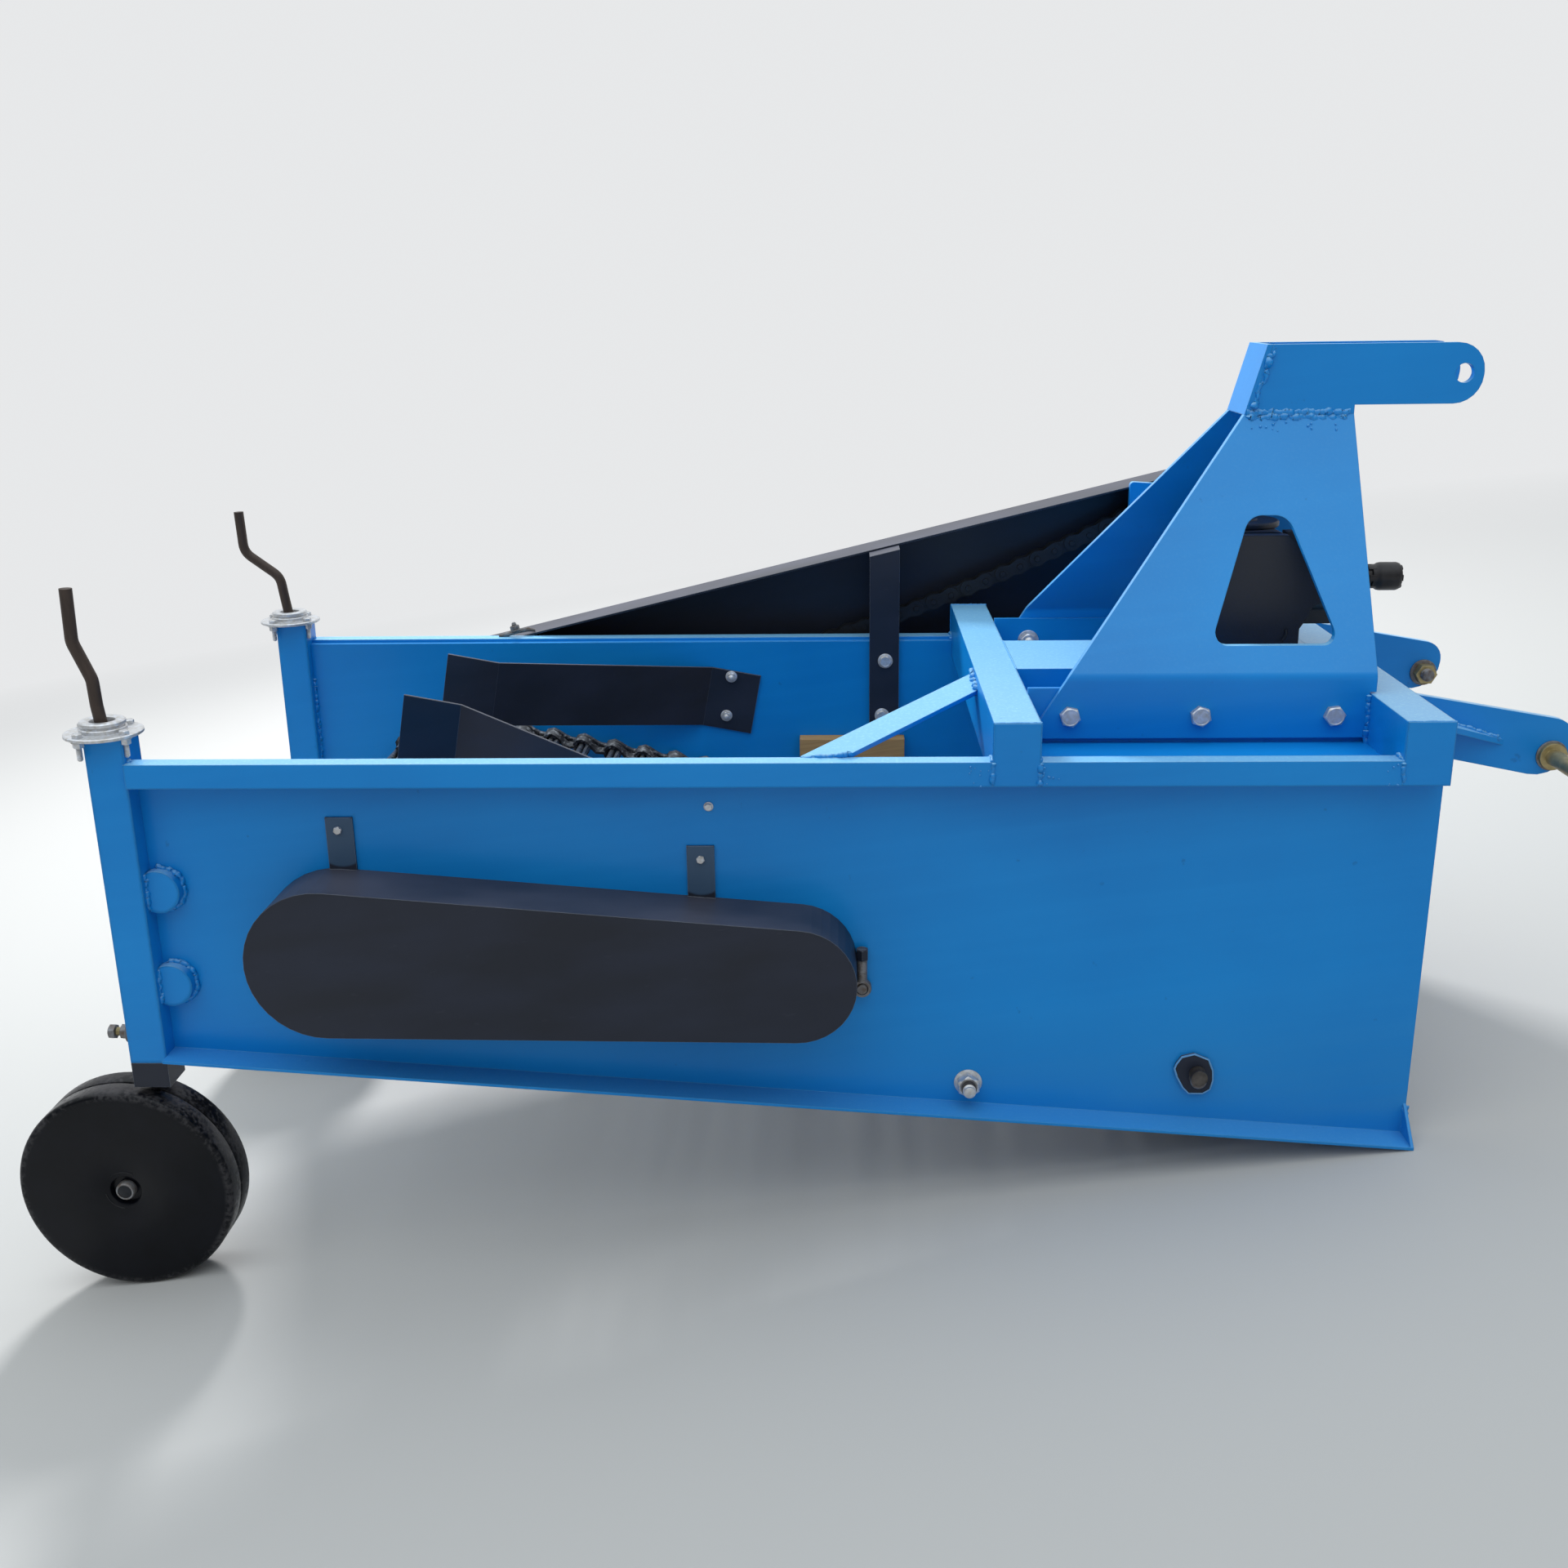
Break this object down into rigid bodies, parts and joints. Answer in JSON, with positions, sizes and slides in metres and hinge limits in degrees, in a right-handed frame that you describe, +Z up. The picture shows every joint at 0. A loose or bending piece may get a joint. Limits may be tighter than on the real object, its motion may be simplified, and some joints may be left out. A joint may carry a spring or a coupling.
{
  "type": "potato digger",
  "caption": "Three-point-hitch potato digger with side walls, rod-chain elevator web, share, mast, gearbox with splined stub, chain drives and two depth wheels.",
  "frame": {"origin": "on the floor under the middle of the machine's box; the machine stands nose low on its two wheels and the front corners of its walls", "axes": "+X forward to the tractor, +Y to the machine's left, +Z up"},
  "size_m": [2.173, 0.933, 1.0417],
  "materials": {
    "blue_paint": "azure blue gloss paint on sheet and tube",
    "black_paint": "gloss black paint",
    "zinc_plate": "zinc plated, slightly yellow",
    "bare_steel": "dark oiled steel",
    "share_steel": "worn bare steel",
    "cast_body": "black painted casting",
    "wood_block": "sawn block",
    "crank_rod": "dark brown bent rod"
  },
  "bodies": {
    "frame": {"wall_left": "blue_paint", "wall_right": "blue_paint", "rail_left": "blue_paint", "rail_right": "blue_paint", "post_left": "blue_paint", "post_right": "blue_paint", "cross_tube_mid": "blue_paint", "cross_tube_front": "blue_paint", "brace": "blue_paint", "mast_plate_left": "blue_paint", "mast_plate_right": "blue_paint", "mast_rails": "blue_paint", "mast_cap": "blue_paint", "top_link_lugs": "blue_paint", "hitch_plate_left": "blue_paint", "hitch_plate_right": "blue_paint", "hitch_pin_left": "zinc_plate", "hitch_pin_right": "zinc_plate", "gearbox_bed": "blue_paint", "gearbox": "cast_body", "cross_shaft": "black_paint", "bearing_stand": "blue_paint", "side_chain": "bare_steel", "chain_guard": "black_paint", "guard_bracket": "black_paint", "chain_cover": "black_paint", "head_shaft": "bare_steel", "shaker_shaft": "bare_steel", "front_idler": "bare_steel", "support_rollers": "bare_steel", "shaft_bearings": "black_paint", "elevator_web": "bare_steel", "share": "share_steel", "share_beam": "blue_paint", "deflector_left": "black_paint", "deflector_right": "black_paint", "rub_block": "wood_block", "crank_flanges": "zinc_plate", "crank_left": "crank_rod", "crank_right": "crank_rod"},
    "input_shaft": {"input_shaft": "bare_steel"},
    "leg_left": {"leg_left": "black_paint"},
    "leg_right": {"leg_right": "black_paint"},
    "wheel_left": {"wheel_left": "black_paint"},
    "wheel_right": {"wheel_right": "black_paint"}
  },
  "joints": [
    {"name": "input_spin", "type": "hinge", "parent": "frame", "child": "input_shaft", "pos_m": [0.88684, -0.0165, 0.69738], "axis": [0.9917, 0, -0.1284], "continuous": true},
    {"name": "leg_left_slide", "type": "slide", "parent": "frame", "child": "leg_left", "axis": [-0.1284, 0, -0.9917], "range_m": [0, 0.15]},
    {"name": "leg_right_slide", "type": "slide", "parent": "frame", "child": "leg_right", "axis": [-0.1284, 0, -0.9917], "range_m": [0, 0.15]},
    {"name": "wheel_left_spin", "type": "hinge", "parent": "leg_left", "child": "wheel_left", "pos_m": [-0.93654, 0.3455, 0.15], "axis": [0, 1, 0], "continuous": true},
    {"name": "wheel_right_spin", "type": "hinge", "parent": "leg_right", "child": "wheel_right", "pos_m": [-0.93654, -0.3785, 0.15], "axis": [0, 1, 0], "continuous": true}
  ]
}
